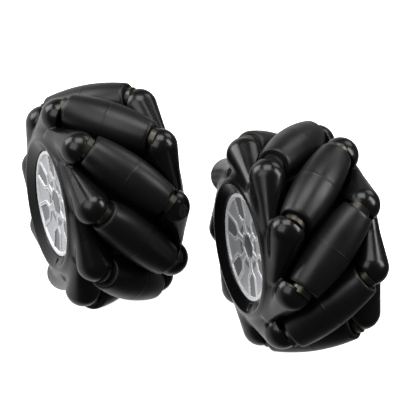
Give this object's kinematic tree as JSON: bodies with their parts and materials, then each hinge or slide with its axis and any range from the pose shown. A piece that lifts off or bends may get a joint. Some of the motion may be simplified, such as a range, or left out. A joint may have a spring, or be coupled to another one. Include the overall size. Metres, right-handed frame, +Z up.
{
  "type": "mecanum wheel pair",
  "caption": "Handed pair of mecanum wheels with free-turning barrel rollers at 45 degrees, moulded claw cages and plated forked-spoke inserts.",
  "frame": {"origin": "centre of the left wheel, on its axle line and halfway across its width", "axes": "+X along both axles, from the outer (spoked) faces towards the drive side; +Y across the wheels, away from the right wheel; +Z up"},
  "size_m": [0.1204, 0.1674, 0.1],
  "materials": {
    "cage_plastic": "gloss black moulded nylon",
    "drum_plastic": "matt black moulded plastic",
    "roller_rubber": "satin black moulded rubber with a fine mould line",
    "core_plastic": "dark grey moulded plastic",
    "plated_insert": "bright plated plastic",
    "plated_cap": "bright plated plastic, darker",
    "pin_steel": "ground steel",
    "sleeve_metal": "warm nickel-plated turned metal",
    "screw_steel": "blackened steel",
    "coupling_metal": "turned aluminium"
  },
  "bodies": {
    "left_wheel": {"left_outer_cage": "cage_plastic", "left_inner_cage": "cage_plastic", "left_hub_drum": "drum_plastic", "left_shaft_coupling": "coupling_metal", "left_spoke_insert": "plated_insert", "left_centre_cap": "plated_cap", "left_axle_pins": "pin_steel", "left_flanged_sleeves": "sleeve_metal", "left_clamp_screws": "screw_steel", "left_coupling_screws": "screw_steel", "left_grub_screws": "screw_steel"},
    "left_roller_1": {"left_roller_tread_1": "roller_rubber", "left_roller_core_1": "core_plastic"},
    "left_roller_2": {"left_roller_tread_2": "roller_rubber", "left_roller_core_2": "core_plastic"},
    "left_roller_3": {"left_roller_tread_3": "roller_rubber", "left_roller_core_3": "core_plastic"},
    "left_roller_4": {"left_roller_tread_4": "roller_rubber", "left_roller_core_4": "core_plastic"},
    "left_roller_5": {"left_roller_tread_5": "roller_rubber", "left_roller_core_5": "core_plastic"},
    "left_roller_6": {"left_roller_tread_6": "roller_rubber", "left_roller_core_6": "core_plastic"},
    "left_roller_7": {"left_roller_tread_7": "roller_rubber", "left_roller_core_7": "core_plastic"},
    "left_roller_8": {"left_roller_tread_8": "roller_rubber", "left_roller_core_8": "core_plastic"},
    "left_roller_9": {"left_roller_tread_9": "roller_rubber", "left_roller_core_9": "core_plastic"},
    "right_wheel": {"right_outer_cage": "cage_plastic", "right_inner_cage": "cage_plastic", "right_hub_drum": "drum_plastic", "right_shaft_coupling": "coupling_metal", "right_spoke_insert": "plated_insert", "right_centre_cap": "plated_cap", "right_axle_pins": "pin_steel", "right_flanged_sleeves": "sleeve_metal", "right_clamp_screws": "screw_steel", "right_coupling_screws": "screw_steel", "right_grub_screws": "screw_steel"},
    "right_roller_1": {"right_roller_tread_1": "roller_rubber", "right_roller_core_1": "core_plastic"},
    "right_roller_2": {"right_roller_tread_2": "roller_rubber", "right_roller_core_2": "core_plastic"},
    "right_roller_3": {"right_roller_tread_3": "roller_rubber", "right_roller_core_3": "core_plastic"},
    "right_roller_4": {"right_roller_tread_4": "roller_rubber", "right_roller_core_4": "core_plastic"},
    "right_roller_5": {"right_roller_tread_5": "roller_rubber", "right_roller_core_5": "core_plastic"},
    "right_roller_6": {"right_roller_tread_6": "roller_rubber", "right_roller_core_6": "core_plastic"},
    "right_roller_7": {"right_roller_tread_7": "roller_rubber", "right_roller_core_7": "core_plastic"},
    "right_roller_8": {"right_roller_tread_8": "roller_rubber", "right_roller_core_8": "core_plastic"},
    "right_roller_9": {"right_roller_tread_9": "roller_rubber", "right_roller_core_9": "core_plastic"}
  },
  "joints": [
    {"name": "right_wheel_apart", "type": "slide", "parent": "left_wheel", "child": "right_wheel", "axis": [1, 0, 0], "range_m": [0, 0.1]},
    {"name": "left_roller_1_spin", "type": "hinge", "parent": "left_wheel", "child": "left_roller_1", "pos_m": [0, -0.00815, 0.03936], "axis": [-0.7071, 0.6924, 0.1434], "continuous": true},
    {"name": "left_roller_2_spin", "type": "hinge", "parent": "left_wheel", "child": "left_roller_2", "pos_m": [0, -0.03155, 0.02492], "axis": [-0.7071, 0.4382, 0.5549], "continuous": true},
    {"name": "left_roller_3_spin", "type": "hinge", "parent": "left_wheel", "child": "left_roller_3", "pos_m": [0, -0.04018, -0.00119], "axis": [-0.7071, -0.021, 0.7068], "continuous": true},
    {"name": "left_roller_4_spin", "type": "hinge", "parent": "left_wheel", "child": "left_roller_4", "pos_m": [0, -0.03001, -0.02674], "axis": [-0.7071, -0.4704, 0.528], "continuous": true},
    {"name": "left_roller_5_spin", "type": "hinge", "parent": "left_wheel", "child": "left_roller_5", "pos_m": [0, -0.0058, -0.03978], "axis": [-0.7071, -0.6997, 0.1021], "continuous": true},
    {"name": "left_roller_6_spin", "type": "hinge", "parent": "left_wheel", "child": "left_roller_6", "pos_m": [0, 0.02112, -0.0342], "axis": [-0.7071, -0.6016, -0.3716], "continuous": true},
    {"name": "left_roller_7_spin", "type": "hinge", "parent": "left_wheel", "child": "left_roller_7", "pos_m": [0, 0.03817, -0.01262], "axis": [-0.7071, -0.222, -0.6713], "continuous": true},
    {"name": "left_roller_8_spin", "type": "hinge", "parent": "left_wheel", "child": "left_roller_8", "pos_m": [0, 0.03735, 0.01486], "axis": [-0.7071, 0.2615, -0.657], "continuous": true},
    {"name": "left_roller_9_spin", "type": "hinge", "parent": "left_wheel", "child": "left_roller_9", "pos_m": [0, 0.01906, 0.0354], "axis": [-0.7071, 0.6226, -0.3352], "continuous": true},
    {"name": "right_roller_1_spin", "type": "hinge", "parent": "right_wheel", "child": "right_roller_1", "pos_m": [0.0652, -0.08808, 0.03471], "axis": [-0.7071, -0.6105, -0.3568], "continuous": true},
    {"name": "right_roller_2_spin", "type": "hinge", "parent": "right_wheel", "child": "right_roller_2", "pos_m": [0.0652, -0.10565, 0.01355], "axis": [-0.7071, -0.2384, -0.6657], "continuous": true},
    {"name": "right_roller_3_spin", "type": "hinge", "parent": "right_wheel", "child": "right_roller_3", "pos_m": [0.0652, -0.1055, -0.01395], "axis": [-0.7071, 0.2453, -0.6632], "continuous": true},
    {"name": "right_roller_4_spin", "type": "hinge", "parent": "right_wheel", "child": "right_roller_4", "pos_m": [0.0652, -0.08772, -0.03492], "axis": [-0.7071, 0.6142, -0.3503], "continuous": true},
    {"name": "right_roller_5_spin", "type": "hinge", "parent": "right_wheel", "child": "right_roller_5", "pos_m": [0.0652, -0.06061, -0.03955], "axis": [-0.7071, 0.6957, 0.1264], "continuous": true},
    {"name": "right_roller_6_spin", "type": "hinge", "parent": "right_wheel", "child": "right_roller_6", "pos_m": [0.0652, -0.03687, -0.02568], "axis": [-0.7071, 0.4517, 0.544], "continuous": true},
    {"name": "right_roller_7_spin", "type": "hinge", "parent": "right_wheel", "child": "right_roller_7", "pos_m": [0.0652, -0.0276, 0.00021], "axis": [-0.7071, -0.0037, 0.7071], "continuous": true},
    {"name": "right_roller_8_spin", "type": "hinge", "parent": "right_wheel", "child": "right_roller_8", "pos_m": [0.0652, -0.03714, 0.026], "axis": [-0.7071, -0.4573, 0.5393], "continuous": true},
    {"name": "right_roller_9_spin", "type": "hinge", "parent": "right_wheel", "child": "right_roller_9", "pos_m": [0.0652, -0.06103, 0.03963], "axis": [-0.7071, -0.697, 0.1191], "continuous": true}
  ]
}
